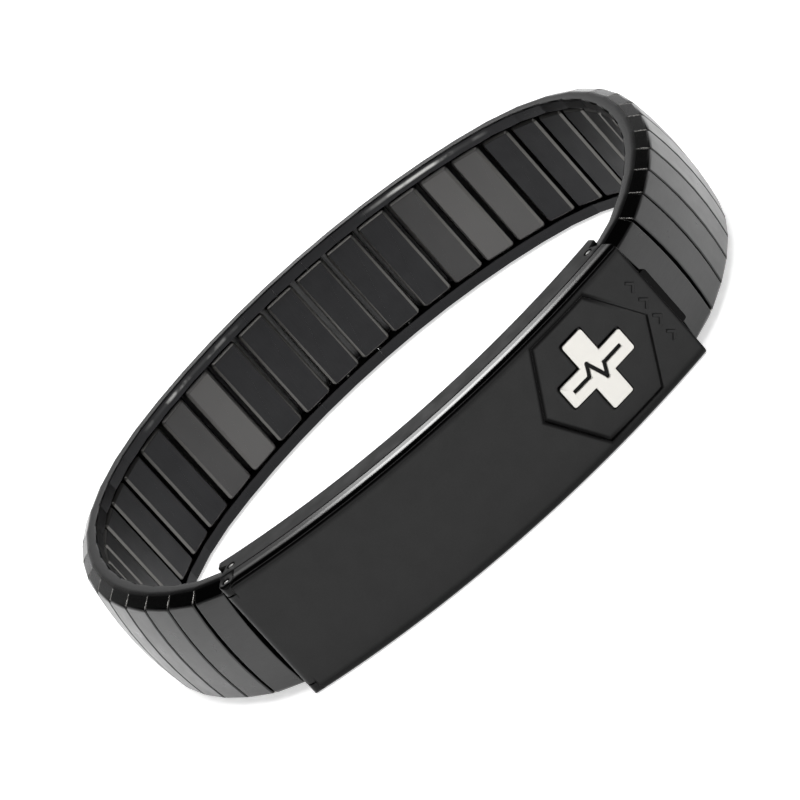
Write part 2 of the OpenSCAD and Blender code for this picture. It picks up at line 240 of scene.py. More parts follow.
def link_tree(name, between_joints):
    """Tree that sets a link between each two joints, or on each inner joint, turned along the line."""
    tree = bpy.data.node_groups.new(name, "GeometryNodeTree")
    sockets = (("Line", "NodeSocketGeometry"), ("Link", "NodeSocketObject"), ("Link length", "NodeSocketFloat"),
               ("Gap", "NodeSocketFloat"), ("Tilt", "NodeSocketFloat"), ("Seed", "NodeSocketInt"),
               ("Finish", "NodeSocketMaterial"))
    for label, kind in sockets:
        tree.interface.new_socket(label, in_out="INPUT", socket_type=kind)
    tree.interface.new_socket("Links", in_out="OUTPUT", socket_type="NodeSocketGeometry")
    given = node(tree, "NodeGroupInput").outputs
    link = node(tree, "GeometryNodeObjectInfo", {"Object": given["Link"]})
    if between_joints:
        ends = node(tree, "GeometryNodeInputMeshEdgeVertices")
        span = node(tree, "ShaderNodeVectorMath",
                    {0: ends.outputs["Position 2"], 1: ends.outputs["Position 1"]}, operation="SUBTRACT")
        kept = node(tree, "GeometryNodeStoreNamedAttribute",
                    {"Geometry": given["Line"], "Name": "span", "Value": span.outputs[0]},
                    data_type="FLOAT_VECTOR", domain="EDGE")
        places = node(tree, "GeometryNodeMeshToPoints", {"Mesh": kept.outputs[0]}, mode="EDGES").outputs[0]
        along = node(tree, "GeometryNodeInputNamedAttribute", {"Name": "span"},
                     data_type="FLOAT_VECTOR").outputs["Attribute"]
        reach = node(tree, "ShaderNodeVectorMath", {0: along}, operation="LENGTH")
        length = node(tree, "ShaderNodeMath",
                      {0: reach.outputs["Value"], 1: given["Gap"]}, operation="SUBTRACT")
        stretch = node(tree, "ShaderNodeMath",
                       {0: length.outputs[0], 1: given["Link length"]}, operation="DIVIDE")
        size = node(tree, "ShaderNodeCombineXYZ", {"X": stretch.outputs[0], "Y": 1.0, "Z": 1.0}).outputs[0]
        chosen = node(tree, "FunctionNodeInputBool", boolean=True).outputs[0]
    else:
        places = node(tree, "GeometryNodeMeshToCurve", {"Mesh": given["Line"]}).outputs[0]
        along = node(tree, "GeometryNodeInputTangent").outputs[0]
        size = node(tree, "ShaderNodeCombineXYZ", {"X": 1.0, "Y": 1.0, "Z": 1.0}).outputs[0]
        ends = node(tree, "GeometryNodeCurveEndpointSelection", {"Start Size": 1, "End Size": 1})
        chosen = node(tree, "FunctionNodeBooleanMath", {0: ends.outputs[0]}, operation="NOT").outputs[0]
    turned = node(tree, "FunctionNodeAlignRotationToVector", {"Vector": along}, axis="X", pivot_axis="Z")
    low = node(tree, "ShaderNodeMath", {0: given["Tilt"], 1: -1.0}, operation="MULTIPLY")
    lean = node(tree, "FunctionNodeRandomValue",
                {"Min": low.outputs[0], "Max": given["Tilt"], "Seed": given["Seed"]}, data_type="FLOAT")
    leaning = node(tree, "ShaderNodeCombineXYZ", {"Z": lean.outputs["Value"]})
    play = node(tree, "FunctionNodeEulerToRotation", {0: leaning.outputs[0]})
    turn = node(tree, "FunctionNodeRotateRotation",
                {"Rotation": turned.outputs[0], "Rotate By": play.outputs[0]}, rotation_space="LOCAL")
    set_out = node(tree, "GeometryNodeInstanceOnPoints",
                   {"Points": places, "Selection": chosen, "Instance": link.outputs["Geometry"],
                    "Rotation": turn.outputs[0], "Scale": size})
    tone = node(tree, "FunctionNodeRandomValue", {"Seed": given["Seed"]}, data_type="FLOAT")
    toned = node(tree, "GeometryNodeStoreNamedAttribute",
                 {"Geometry": set_out.outputs[0], "Name": "link_tone", "Value": tone.outputs["Value"]},
                 data_type="FLOAT", domain="INSTANCE")
    whole = node(tree, "GeometryNodeRealizeInstances", {"Geometry": toned.outputs[0]})
    coated = node(tree, "GeometryNodeSetMaterial", {"Geometry": whole.outputs[0], "Material": given["Finish"]})
    node(tree, "NodeGroupOutput", {"Links": coated.outputs[0]})
    return tree


def ramp(tree, value, low, high):
    """Rises smoothly from 0 to 1 as a value goes from low to high, in millimetres."""
    return node(tree, "ShaderNodeMapRange", {"Value": value, "From Min": low * MM, "From Max": high * MM},
                interpolation_type="SMOOTHSTEP").outputs["Result"]


def from_middle(tree, where, axis, middle):
    """Distance from a middle plane across one axis."""
    apart = node(tree, "ShaderNodeSeparateXYZ", {0: where}).outputs[axis]
    moved = node(tree, "ShaderNodeMath", {0: apart, 1: middle * MM}, operation="SUBTRACT")
    return node(tree, "ShaderNodeMath", {0: moved.outputs[0]}, operation="ABSOLUTE").outputs[0]


def product(tree, *values):
    result = values[0]
    for value in values[1:]:
        result = node(tree, "ShaderNodeMath", {0: result, 1: value}, operation="MULTIPLY").outputs[0]
    return result


def inverse(tree, value):
    return node(tree, "ShaderNodeMath", {0: 1.0, 1: value}, operation="SUBTRACT").outputs[0]


def between(tree, value, rise, fall):
    """Rises from 0 to 1 over one pair of places and falls back over another, in millimetres."""
    return product(tree, ramp(tree, value, *rise), inverse(tree, ramp(tree, value, *fall)))


# Black vapour-coated steel over a satin brushed surface: the coating keeps the brush lines, so the
# gloss is drawn out across them. The lines of 0.05 mm are drawn at 0.15 mm, to show at this size.
# Layers, as (share, colour, roughness), lay another colour or gloss over parts of it, and one that
# is glossier than POLISHED also smooths the brush lines.
BRUSH_RELIEF, BRUSH_DEPTH, POLISHED = 0.12, 0.01, 0.2


def satin_black(name, colours, roughness, lines, place, layers=None):
    material = bpy.data.materials.new(name)
    material.use_nodes = True
    tree = material.node_tree
    tree.nodes.clear()
    if place == "own_place":
        own = node(tree, "ShaderNodeAttribute", attribute_name="own_place").outputs["Vector"]
        tone = node(tree, "ShaderNodeAttribute", attribute_name="link_tone").outputs["Fac"]
        shift = node(tree, "ShaderNodeCombineXYZ", {"X": tone, "Y": tone, "Z": tone})
        where = node(tree, "ShaderNodeVectorMath", {0: own, 1: shift.outputs[0]}, operation="ADD").outputs[0]
    else:
        own = where = node(tree, "ShaderNodeTexCoord").outputs["Object"]
    drawn = node(tree, "ShaderNodeMapping", {"Vector": where, "Scale": lines})
    brushed = node(tree, "ShaderNodeTexNoise", {"Vector": drawn.outputs[0], "Scale": 1.0, "Detail": 4.0})
    cloudy = node(tree, "ShaderNodeTexNoise", {"Vector": where, "Scale": 0.6 / MM, "Detail": 3.0})
    gloss = node(tree, "ShaderNodeMapRange",
                 {"Value": cloudy.outputs["Fac"], "From Min": 0.3, "From Max": 0.7,
                  "To Min": roughness - 0.03, "To Max": roughness + 0.04}).outputs["Result"]
    tint = node(tree, "ShaderNodeMix", {"Factor": brushed.outputs["Fac"], "A": linear(colours[0]),
                                        "B": linear(colours[1])}, data_type="RGBA").outputs["Result"]
    relief = node(tree, "ShaderNodeBump", {"Height": brushed.outputs["Fac"], "Strength": BRUSH_RELIEF,
                                           "Distance": BRUSH_DEPTH * MM})
    for share, colour, smooth in layers(tree, own) if layers else ():
        if smooth and smooth < POLISHED and not relief.inputs["Strength"].is_linked:
            kept = node(tree, "ShaderNodeMapRange", {"Value": share, "To Min": BRUSH_RELIEF, "To Max": 0.0})
            tree.links.new(kept.outputs["Result"], relief.inputs["Strength"])
        if colour:
            tint = node(tree, "ShaderNodeMix", {"Factor": share, "A": tint, "B": linear(colour)},
                        data_type="RGBA").outputs["Result"]
        if smooth:
            gloss = node(tree, "ShaderNodeMix", {"Factor": share, "A": gloss, "B": smooth}).outputs["Result"]
    shader = node(tree, "ShaderNodeBsdfPrincipled",
                  {"Base Color": tint, "Metallic": 1.0, "Roughness": gloss, "Normal": relief.outputs[0]})
    node(tree, "ShaderNodeOutputMaterial", {"Surface": shader.outputs[0]})
    return material


# Where the finish, the painted shade and the painted highlight of a cap change. Heights are measured
# from the middle of the band, and depths from the line of joints towards the wrist.
SLOPE_RISE, SLOPE_FALL, SLOPE_DEPTH = (6.0, 6.1), (6.74, 6.8), (0.25, 0.35)
FLAT_RISE = (6.82, 6.88)
FLANGE_RISE = (CAP_DEPTH - STRING_OFFSET - 0.25, CAP_DEPTH - STRING_OFFSET - 0.1)
END_RISE = (CAP_LENGTH / 2 - 0.16, CAP_LENGTH / 2 - 0.08)
# A painted highlight along the inner edge of the upper flange, on the far side, in a stretch on each side of
# the middle
GLINT_RISE, GLINT_FALL, GLINT_DEPTH, UPPER_FLANGE = (6.1, 6.35), (6.4, 6.65), (1.36, 1.42), (7, 9)
STRETCH_RISE, STRETCH_FALL, FAR_SIDE = (7, 13), (18, 23), (12, 18)


def cap_layers(tree, own):
    """Darker flanges, painted shade on the shoulders with bright ends, and a painted highlight in stretches
    along the flange.
    """
    height = from_middle(tree, own, "Z", CAP_LOW + CAP_WIDTH / 2)
    apart = node(tree, "ShaderNodeSeparateXYZ", {0: own}).outputs
    ends = ramp(tree, from_middle(tree, own, "X", 0.0), *END_RISE)
    # The shoulders are painted almost black: painted shade for the dark that they mirror from above
    shaded_shoulder = product(tree, between(tree, height, SLOPE_RISE, SLOPE_FALL),
                    inverse(tree, ramp(tree, apart["Y"], *SLOPE_DEPTH)))
    whole = node(tree, "ShaderNodeTexCoord").outputs["Object"]
    # A painted highlight in patches along the inner edge of the upper flange, on the far side of the band
    edge = product(tree, between(tree, height, GLINT_RISE, GLINT_FALL), ramp(tree, apart["Y"], *GLINT_DEPTH),
                   ramp(tree, apart["Z"], *UPPER_FLANGE))
    stretch = product(tree, between(tree, from_middle(tree, whole, "X", 0.0), STRETCH_RISE, STRETCH_FALL),
                      ramp(tree, node(tree, "ShaderNodeSeparateXYZ", {0: whole}).outputs["Y"], *FAR_SIDE))
    patchy = node(tree, "ShaderNodeTexNoise", {"Vector": whole, "Scale": 0.25 / MM, "Detail": 4.0})
    glint_patches = node(tree, "ShaderNodeMapRange",
                  {"Value": patchy.outputs["Fac"], "From Min": 0.42, "From Max": 0.58, "To Min": 0.06})
    return ((ramp(tree, apart["Y"], *FLANGE_RISE), "#29292a", None), (shaded_shoulder, "#1c1c1c", 0.22),
            (ramp(tree, height, *FLAT_RISE), "#3e3e3e", 0.24),
            (product(tree, edge, stretch, glint_patches.outputs["Result"]), "#a6a6a4", 0.2),
            (product(tree, ends, shaded_shoulder), "#c4c2bf", 0.2))


cap_finish = satin_black("satin_black_coated_steel", ("#3c3c3c", "#444444"), 0.3, (800, 7000, 7000),
                         "own_place", cap_layers)
cap_links = carried_along(
    "outer_links", cap_mesh(), joint_line, link_tree("caps_between_joints", True), cap_finish,
    **{"Link length": CAP_LENGTH * MM, "Gap": CAP_GAP * MM, "Tilt": 0.0, "Seed": 3},
)
# Where the band bends, the facing ends of two caps are mitred, which keeps a thin even gap
own_x = np.zeros(len(cap_links.data.vertices) * 3)
cap_links.data.attributes["own_place"].data.foreach_get("vector", own_x)
places = np.zeros_like(own_x)
cap_links.data.vertices.foreach_get("co", places)
own_x, places = own_x.reshape(-1, 3)[:, 0], places.reshape(-1, 3)
line = np.array(joints)
steps = np.diff(line, axis=0) / np.linalg.norm(np.diff(line, axis=0), axis=1)[:, None]
for j in range(1, LINK_COUNT):
    lead = steps[j - 1] + steps[j]
    past = (places - line[j]) @ (lead / np.linalg.norm(lead))
    away = np.linalg.norm(places[:, :2] - line[j, :2], axis=1)
    close = (np.abs(past) < MITRE_REACH * MM) & (away < MITRE_ROUND * MM)
    side = -np.sign(own_x)
    short = MITRE_GAP / 2 * MM - side * past
    moved = close & (short > 0)
    places[moved] += np.outer((side * short)[moved], lead / np.linalg.norm(lead))
cap_links.data.vertices.foreach_set("co", places.ravel())
evened(cap_links)
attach(cap_links, "band")
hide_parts(*["outer_link_%02d" % k for k in range(1, LINK_COUNT + 1)])

# Inner links. Flat steel bars with rounded corners and a bevelled rim round the face that lies on
# the wrist. They sit on the joints, between the flanges of the outer links, and hold the springs.
BAR_LENGTH, BAR_HEIGHT = 3.4, 11.1
BAR_CORNER = 0.45
BAR_BACK, BAR_FACE = 1.35, 3.1
BAR_MIDDLE = 7.2
BAR_THICKNESS = BAR_FACE - BAR_BACK
# Depth below the face and distance in from the edge, over the bevelled rim and round the back
BAR_RIM = ((0.0, 0.33), (0.015, 0.29), (0.19, 0.04), (0.25, 0.0),
           (BAR_THICKNESS - 0.1, 0.0), (BAR_THICKNESS, 0.1))


def bar_mesh():
    x, z = BAR_LENGTH / 2, BAR_HEIGHT / 2
    outline = rounded([(-x, -z, BAR_CORNER), (x, -z, BAR_CORNER), (x, z, BAR_CORNER), (-x, z, BAR_CORNER)], 5)
    normals = outline_normals(outline)
    rings = [
        [(u - inset * nu, BAR_FACE - depth - STRING_OFFSET, v - inset * nv + BAR_MIDDLE)
         for (u, v), (nu, nv) in zip(outline, normals)]
        for depth, inset in BAR_RIM
    ]
    return skin("bar", rings)


def bar_layers(tree, own):
    """Bevelled rim of a bar, where the coating has rubbed thin, and a painted reflection that lightens a few
    bars all over.
    """
    depth = node(tree, "ShaderNodeSeparateXYZ", {0: own}).outputs["Y"]
    face = BAR_FACE - STRING_OFFSET
    bevel = inverse(tree, ramp(tree, depth, face - 0.05, face - 0.01))
    worn = node(tree, "ShaderNodeAttribute", attribute_name="worn").outputs["Fac"]
    return ((bevel, "#5c5b59", 0.3), (worn, "#626160", 0.45))


# The same coating over rougher brushing across the band, darker and duller than the caps
bar_finish = satin_black("satin_black_coated_bar", ("#2a2a2b", "#303031"), 0.42, (7000, 7000, 900),
                         "own_place", bar_layers)
bars = carried_along(
    "inner_bars", bar_mesh(), joint_line, link_tree("bars_on_joints", False), bar_finish,
    **{"Link length": BAR_LENGTH * MM, "Gap": 0.0, "Tilt": math.radians(1.2), "Seed": 11},
)
# How strongly single bars are painted lighter, by their joint: a painted reflection of the floor that these
# bars mirror
BAR_SHEEN = {23: 0.75, 24: 0.35, 16: 0.3, 15: 0.75, 14: 0.6}
nearest = [min(range(len(joints)), key=lambda j: math.dist(joints[j][:2], v.co[:2]))
           for v in bars.data.vertices]
worn = bars.data.attributes.new("worn", "FLOAT", "POINT")
worn.data.foreach_set("value", [BAR_SHEEN.get(j, 0.0) for j in nearest])
evened(bars)
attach(bars, "band")
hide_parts("inner_links")


# End links. Plain steel bars, black coated like the inner links, that carry the first joint of the
# band into the slots at the ends of the tray, where a pin holds each.
END_BAR_EDGE = 0.1


def softened(node_name, piece_name, width, segments=2, angle=30):
    """A copy of a CAD solid with its sharp edges rounded by a cutter's small radius."""
    piece = bpy.data.objects.new(piece_name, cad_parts[node_name].data.copy())
    bpy.context.scene.collection.objects.link(piece)
    piece.data.materials.clear()
    work = bmesh.new()
    work.from_mesh(piece.data)
    bmesh.ops.remove_doubles(work, verts=work.verts, dist=2e-7)
    bmesh.ops.dissolve_limit(work, angle_limit=math.radians(0.3), verts=work.verts, edges=work.edges)
    work.to_mesh(piece.data)
    work.free()
    if piece.data.has_custom_normals:
        bpy.context.view_layer.objects.active = piece
        with bpy.context.temp_override(object=piece, active_object=piece):
            bpy.ops.mesh.customdata_custom_splitnormals_clear()
    rounding = piece.modifiers.new("rounding", "BEVEL")
    rounding.width = width * MM
    rounding.segments = segments
    rounding.limit_method = "ANGLE"
    rounding.angle_limit = math.radians(angle)
    graph = bpy.context.evaluated_depsgraph_get()
    made = bpy.data.meshes.new_from_object(piece.evaluated_get(graph))
    made.name = piece_name
    piece.modifiers.remove(rounding)
    piece.data = made
    made.shade_smooth()
    made.set_sharp_from_angle(angle=math.radians(32))
    return piece


for side in ("right", "left"):
    end_bar = softened("end_link_" + side, "end_bar_" + side, END_BAR_EDGE)
    # The same coating over brushing along the bar, which draws a soft gloss across it
    end_bar.data.materials.append(satin_black(
        "satin_black_coated_end_bar_" + side, ("#2e2e2f", "#353536"), 0.3, (7000, 7000, 900), "Object"))
    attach(end_bar, "band")
    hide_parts("end_link_" + side)

# Tray of the plate. One curved steel body with a shallow compartment, two ears for the hinge pin
# and a slot at each end for the band. It is shaped flat here, as (along, across, depth below the
# face), and then bent to the curve of the plate.
ALONG, ACROSS, DEPTH = 0, 1, 2
PLATE_WIDTH, PLATE_DEPTH = 14.4, 5.4
LID_DEPTH, SIDE_DEPTH, SIDE_WIDTH, PARTING = 1.35, 2.2, 1.2, 0.1
RIM = 0.7
TRAY_HALF = LID_HALF + 0.545
TRAY_TOP, LEDGE, STEP = LID_DEPTH + PARTING, SIDE_DEPTH + PARTING, SIDE_WIDTH + PARTING
TRAY_WALL, TRAY_FLOOR, POCKET_HALF = STEP + 0.8, 1.0, 19.79
SLOT_FROM, SLOT_DEPTHS, SLOT_EDGE = 22.7, (2.2, 4.45), 1.5
BARREL_RADIUS, BARREL_END = 0.85, 1.3
BARREL_ROOM, FOOT_DEPTH = 0.1, 2.43
# A length at the depth of the hinge is drawn longer by this share, because the bend shortens it again
HINGE_DRAWN = 1.0136
HINGE = (BARREL_RADIUS * HINGE_DRAWN - LID_HALF, BARREL_RADIUS + 0.03)
HINGE_BORE, LINK_PIN_BORE = 0.38, 0.43
LINK_PIN = (23.88, 3.45)
EAR_INSET = 0.05
LINK_ROOM, ROOM_REACH = 0.1, 4
TRAY_EDGE, BENDING_STEP = 0.08, 0.9


def prism(outline, low, high, axis, far_outline=None):
    """Solid over an outline, drawn out along one axis from low to high, in millimetres."""
    made = bmesh.new()
    ends = []
    for level, shape in ((low, outline), (high, far_outline or outline)):
        ends.append([made.verts.new((*point[:axis], level, *point[axis:])) for point in shape])
    for i in range(len(outline)):
        j = (i + 1) % len(outline)
        made.faces.new((ends[0][i], ends[0][j], ends[1][j], ends[1][i]))
    made.faces.new(ends[0])
    made.faces.new(ends[1])
    bmesh.ops.recalc_face_normals(made, faces=made.faces)
    mesh = bpy.data.meshes.new("prism")
    made.to_mesh(mesh)
    made.free()
    solid = bpy.data.objects.new("prism", mesh)
    bpy.context.scene.collection.objects.link(solid)
    return solid


def rectangle(low, high):
    return [(low[0], low[1]), (high[0], low[1]), (high[0], high[1]), (low[0], high[1])]


def round_bar(centre, radius, low, high, count=48):
    """Round bar across the plate. It is drawn wider with depth, because the bend narrows it again."""
    wide = radius * face_radius / (face_radius - centre[1])
    turns = [2 * math.pi * (k + 0.5) / count for k in range(count)]
    outline = [(centre[0] + wide * math.cos(t), centre[1] + radius * math.sin(t)) for t in turns]
    return prism(outline, low, high, ACROSS)


def worked(solid, operation, tools):
    """Joins tools to a solid, cuts them from it or keeps what they share, and removes them."""
    steps = []
    for tool in tools:
        step = solid.modifiers.new("step", "BOOLEAN")
        step.operation, step.solver, step.object = operation, "EXACT", tool
        steps.append(step)
    graph = bpy.context.evaluated_depsgraph_get()
    made = bpy.data.meshes.new_from_object(solid.evaluated_get(graph))
    for step in steps:
        solid.modifiers.remove(step)
    for tool in tools:
        bpy.data.objects.remove(tool)
    solid.data = made
    return solid


def rimmed_bar(low, high, bottom):
    """Bar with the rounded rims that the lid and the ears share, from one place along the plate to another."""
    return prism(rounded([(0, bottom, 0), (0, 0, RIM), (PLATE_WIDTH, 0, RIM), (PLATE_WIDTH, bottom, 0)], 6),
                 low, high, ALONG)


def stepped_bar(half, top, side_top, bottom):
    """Bar along the plate whose middle stands up between two lower ledges."""
    right, left = PLATE_WIDTH - STEP, PLATE_WIDTH
    return prism([(0, bottom), (0, side_top), (STEP, side_top), (STEP, top),
                  (right, top), (right, side_top), (left, side_top), (left, bottom)], -half, half, ALONG)


def unbent(point):
    """Place along the plate and depth below its face of a point in the plan."""
    x, y = point[0], OUTER_LINE[0][0] - point[1]
    return math.atan2(x, y) * face_radius, face_radius - math.hypot(x, y)


def first_link_room(side):
    """The room that the tray leaves for the first outer link at one of its ends."""
    start, lead = np.array(right_half[0]), np.array(right_half[1]) - np.array(right_half[0])
    lead /= np.linalg.norm(lead)
    inward = np.array((-lead[1], lead[0]))
    room_plan = rectangle((CAP_GAP / 2 - LINK_ROOM, -ROOM_REACH),
                          (ROOM_REACH, CAP_DEPTH + LINK_ROOM - STRING_OFFSET))
    corners = [unbent(start + lead * a + inward * b) for a, b in room_plan]
    return prism([(side * along, depth) for along, depth in corners], -1, PLATE_WIDTH + 1, ACROSS)


def bent_plate(solid, name, rounding):
    """Rounds the edges of a flat solid, cuts it into narrow strips and bends it to the plate's curve."""
    work = bmesh.new()
    work.from_mesh(solid.data)
    bmesh.ops.remove_doubles(work, verts=work.verts, dist=0.001)
    bmesh.ops.dissolve_limit(work, angle_limit=math.radians(1), verts=work.verts, edges=work.edges)
    work.to_mesh(solid.data)
    work.free()
    soft = solid.modifiers.new("soft_edges", "BEVEL")
    soft.width, soft.segments, soft.limit_method = rounding, 3, "ANGLE"
    soft.angle_limit, soft.use_clamp_overlap = math.radians(25), False
    graph = bpy.context.evaluated_depsgraph_get()
    made = bpy.data.meshes.new_from_object(solid.evaluated_get(graph))
    work = bmesh.new()
    work.from_mesh(made)
    for cut in np.arange(-LID_HALF - 1, LID_HALF + 1.5, BENDING_STEP):
        everything = work.verts[:] + work.edges[:] + work.faces[:]
        bmesh.ops.bisect_plane(work, geom=everything, plane_co=(cut, 0, 0), plane_no=(1, 0, 0))
    for vert in work.verts:
        along, across_plate, depth = vert.co
        radius, angle = face_radius - depth, along / face_radius
        vert.co = Vector((radius * math.sin(angle), OUTER_LINE[0][0] - centre_y - radius * math.cos(angle),
                          across_plate)) * MM
    bmesh.ops.recalc_face_normals(work, faces=work.faces)
    work.to_mesh(made)
    work.free()
    made.shade_smooth()
    made.set_sharp_from_angle(angle=math.radians(40))
    piece = bpy.data.objects.new(name, made)
    bpy.context.scene.collection.objects.link(piece)
    bpy.data.objects.remove(solid)
    evened(piece)
    return piece


ears = round_bar(HINGE, BARREL_RADIUS, EAR_INSET, PLATE_WIDTH - EAR_INSET)
foot = prism(rectangle((HINGE[0] - BARREL_RADIUS, HINGE[1]), (HINGE[0] + BARREL_RADIUS - 0.1, FOOT_DEPTH)),
             EAR_INSET, PLATE_WIDTH - EAR_INSET, ACROSS)
ears = worked(worked(ears, "UNION", [foot]), "INTERSECT", [rimmed_bar(-LID_HALF - 1, 0, PLATE_DEPTH)])
body = stepped_bar(TRAY_HALF, TRAY_TOP, LEDGE, PLATE_DEPTH)
body = worked(body, "UNION", [ears])
hollows = [prism(rectangle((-POCKET_HALF, 0), (POCKET_HALF, PLATE_DEPTH - TRAY_FLOOR)),
                 TRAY_WALL, PLATE_WIDTH - TRAY_WALL, ACROSS)]
for side in (-1, 1):
    hollows.append(first_link_room(side))
    along = sorted((side * SLOT_FROM, side * (LID_HALF + 2)))
    hollows.append(prism(rectangle((along[0], SLOT_DEPTHS[0]), (along[1], SLOT_DEPTHS[1])),
                         SLOT_EDGE, PLATE_WIDTH - SLOT_EDGE, ACROSS))
    hollows.append(round_bar((side * LINK_PIN[0], LINK_PIN[1]), LINK_PIN_BORE, -1, PLATE_WIDTH + 1))
room = BARREL_RADIUS + BARREL_ROOM
hollows.append(round_bar(HINGE, room, BARREL_END - BARREL_ROOM, PLATE_WIDTH - BARREL_END + BARREL_ROOM))
hollows.append(prism(rectangle((HINGE[0] - BARREL_RADIUS, -0.2), (HINGE[0] + BARREL_RADIUS, TRAY_TOP + 0.03)),
                     BARREL_END - BARREL_ROOM, PLATE_WIDTH - BARREL_END + BARREL_ROOM, ACROSS))
hollows.append(round_bar(HINGE, HINGE_BORE, -1, PLATE_WIDTH + 1))
tray = bent_plate(worked(body, "DIFFERENCE", hollows), "tray", TRAY_EDGE)


def below_face(tree, own, deep, shallow):
    """Rises from 0 to 1 between two depths under the face of the plate, in millimetres."""
    axis = node(tree, "ShaderNodeCombineXYZ", {"X": 0.0, "Y": (OUTER_LINE[0][0] - centre_y) * MM, "Z": 0.0})
    flat = node(tree, "ShaderNodeVectorMath", {0: own, 1: (1.0, 1.0, 0.0)}, operation="MULTIPLY")
    radial = node(tree, "ShaderNodeVectorMath", {0: flat.outputs[0], 1: axis.outputs[0]}, operation="DISTANCE")
    return ramp(tree, radial.outputs["Value"], face_radius - deep, face_radius - shallow)


def tray_layers(tree, own):
    """The ears are finished with the lid."""
    return ((below_face(tree, own, 1.5, 1.4), "#222222", 0.3),)


# The coating over a blasted surface, whose even grain spreads the light without streaks
tray.data.materials.append(satin_black(
    "blasted_black_coated_tray", ("#313131", "#373737"), 0.36, (5000, 5000, 5000), "Object", tray_layers))
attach(tray, "band")
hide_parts("plate_base")

# Pins. Drawn bare steel wire, cut to length and ground flush with the side of the plate. One is the
# axle of the lid, and two hold the ends of the band in the tray.
PIN_EDGES = {"hinge_pin": 0.15, "link_pin_right": 0.2, "link_pin_left": 0.2}
PEENED = 0.15
# Steel left bare from drawing, so that the ends of the pins show as small light dots
pin_finish = bpy.data.materials.new("drawn_bare_steel")
pin_finish.use_nodes = True
tree = pin_finish.node_tree
tree.nodes.clear()
place = node(tree, "ShaderNodeTexCoord").outputs["Object"]
turning = node(tree, "ShaderNodeTexNoise", {"Vector": place, "Scale": 6 / MM, "Detail": 3.0})
shine = node(tree, "ShaderNodeMapRange", {"Value": turning.outputs["Fac"], "To Min": 0.2, "To Max": 0.3})
steel = node(tree, "ShaderNodeBsdfPrincipled",
             {"Base Color": linear("#d2d1cf"), "Metallic": 1.0, "Roughness": shine.outputs["Result"]})
node(tree, "ShaderNodeOutputMaterial", {"Surface": steel.outputs[0]})
for name, edge in PIN_EDGES.items():
    pin = softened(name, name + "_ground", edge, 4)
    if name == "hinge_pin":
        # Its ends are peened out until they are flush with the ears
        for vert in pin.data.vertices:
            vert.co.z += math.copysign(PEENED, vert.co.z - PLATE_WIDTH / 2 * MM) * MM
    pin.data.materials.append(pin_finish)
    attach(pin, "band")
    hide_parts(name)

# Lid of the plate. A curved steel cover with a polished sloping rim and a matt blasted face. It
# turns on the pin at its left end, and a thumb lip at its right end lifts it.
LIP_WIDTH, LIP_REACH, LIP_CORNER, LIP_DEPTHS = 6.6, 0.75, 0.35, (0.1, 0.9)
ARROW = ((0.21, 0), (-0.5, 0.71), (-0.71, 0.5), (-0.21, 0), (-0.71, -0.5), (-0.5, -0.71))
ARROW_PLACE, ARROW_STEP, ARROW_RISE = LID_HALF - 1.2, 2.1, 0.08
RECESS_PLACE, RECESS_RADIUS, RECESS_DEPTH, RECESS_SLOPE = 15.9, 7.1, 0.3, 0.12
CROSS_ARM, CROSS_HALF_WIDTH, CROSS_CORNER = 4.1, 1.3, 0.3
CROSS_ROOM, CROSS_SINK = 0.12, 0.25
LID_CORNER, LID_EDGE = 0.3, 0.06
# Where the finish and the painted shade of the lid change, measured from its middle across (rim,
# shade, side) and along it (end), and down from its face (line). The painted shade in the recess fades
# out towards its lower right, where a step down counts for less than a step to the right.
RIM_RISE = (PLATE_WIDTH / 2 - RIM - 0.1, PLATE_WIDTH / 2 - RIM + 0.2)
SHADE_RISE, SIDE_RISE, END_SHADE = (6.0, 6.95), (7.08, 7.16), (24.15, 24.45)
LINE_RISE, LINE_FALL = (0.7, 0.95), (1.2, 1.5)
RECESS_SHADE_FADE, STEP_DOWN = (-1.0, 4.5), 0.7


def hexagon(radius):
    turns = [math.radians(60 * k) for k in range(6)]
    return [(RECESS_PLACE + radius * math.cos(t), PLATE_WIDTH / 2 + radius * math.sin(t)) for t in turns]


def cross_outline(grow):
    """Four-armed cross round the middle of the recess, with softly rounded outer corners."""
    arm, half = CROSS_ARM + grow, CROSS_HALF_WIDTH + grow
    corners = []
    for quarter in range(4):
        c, s = ((1, 0), (0, 1), (-1, 0), (0, -1))[quarter]
        for u, v, cut in ((arm, -half, CROSS_CORNER), (arm, half, CROSS_CORNER), (half, half, 0)):
            corners.append((u * c - v * s, u * s + v * c, cut))
    return [(u + RECESS_PLACE, v + PLATE_WIDTH / 2) for u, v in rounded(corners)]


cover = worked(rimmed_bar(HINGE[0], LID_HALF, SIDE_DEPTH), "DIFFERENCE",
               [prism(rectangle((-LID_HALF - 1, LID_DEPTH), (LID_HALF + 1, PLATE_DEPTH)),
                      SIDE_WIDTH, PLATE_WIDTH - SIDE_WIDTH, ACROSS)])
corners = []
for low, high in ((-1, BARREL_END), (PLATE_WIDTH - BARREL_END, PLATE_WIDTH + 1)):
    for shallow, inner in ((-1, HINGE[0] + LID_CORNER), (HINGE[1], HINGE[0] + room - 0.08)):
        corners.append(prism(rectangle((-LID_HALF - 1, shallow), (inner, PLATE_DEPTH)), low, high, ACROSS))
    corners.append(round_bar(HINGE, room - 0.03, low, high))
cover = worked(cover, "DIFFERENCE", corners)
lip_edge = (PLATE_WIDTH - LIP_WIDTH) / 2
lip = rectangle((LID_HALF - LIP_REACH, lip_edge), (LID_HALF + LIP_REACH, PLATE_WIDTH - lip_edge))
